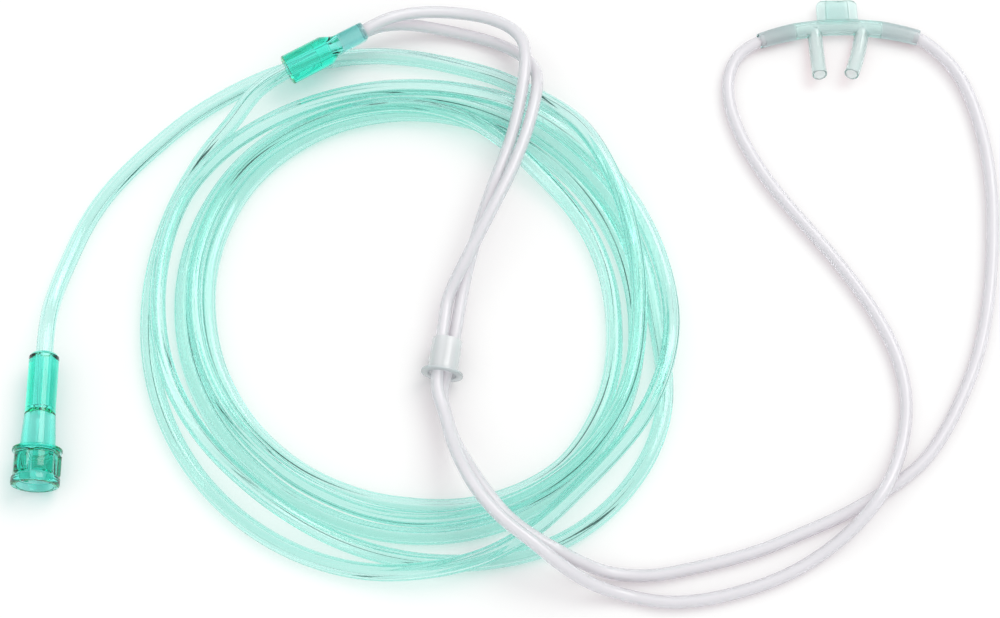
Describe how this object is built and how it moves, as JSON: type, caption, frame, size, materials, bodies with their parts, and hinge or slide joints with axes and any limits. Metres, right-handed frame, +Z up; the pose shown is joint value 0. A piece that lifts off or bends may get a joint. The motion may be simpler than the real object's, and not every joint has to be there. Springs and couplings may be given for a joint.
{
  "type": "nasal oxygen cannula",
  "caption": "Nasal oxygen cannula laid out flat: nosepiece with curved prongs, lariat tubes with a slider, Y connector, and a coiled supply tube with a flared end connector.",
  "frame": {"origin": "on the table, under the middle of the box round the nosepiece, the slider and the Y connector", "axes": "+X along the long side of the layout, towards the nosepiece; +Y away from the viewer, towards the prongs' tube; +Z up from the table"},
  "size_m": [0.293, 0.1948, 0.0191],
  "materials": {
    "nosepiece_pvc": "soft translucent vinyl, pale aqua, satin gloss",
    "lariat_pvc": "soft clear vinyl with a faint milky haze",
    "slider_pvc": "soft translucent whitish vinyl",
    "fitting_pvc": "clear aqua-green moulded vinyl, glossy",
    "supply_pvc": "clear extruded vinyl with a pale green tint, glossy, star-shaped bore"
  },
  "bodies": {
    "tubing_set": {"nosepiece": "nosepiece_pvc", "lariat_tube_left": "lariat_pvc", "lariat_tube_right": "lariat_pvc", "y_connector": "fitting_pvc", "supply_tube_inlet": "supply_pvc", "supply_tube_coil": "supply_pvc", "supply_tube_outlet": "supply_pvc", "end_connector": "fitting_pvc"},
    "slider": {"slider": "slider_pvc"}
  },
  "joints": [
    {"name": "slider_slide", "type": "slide", "parent": "tubing_set", "child": "slider", "axis": [0.1478, 0.989, 0], "range_m": [-0.003, 0.012]}
  ]
}
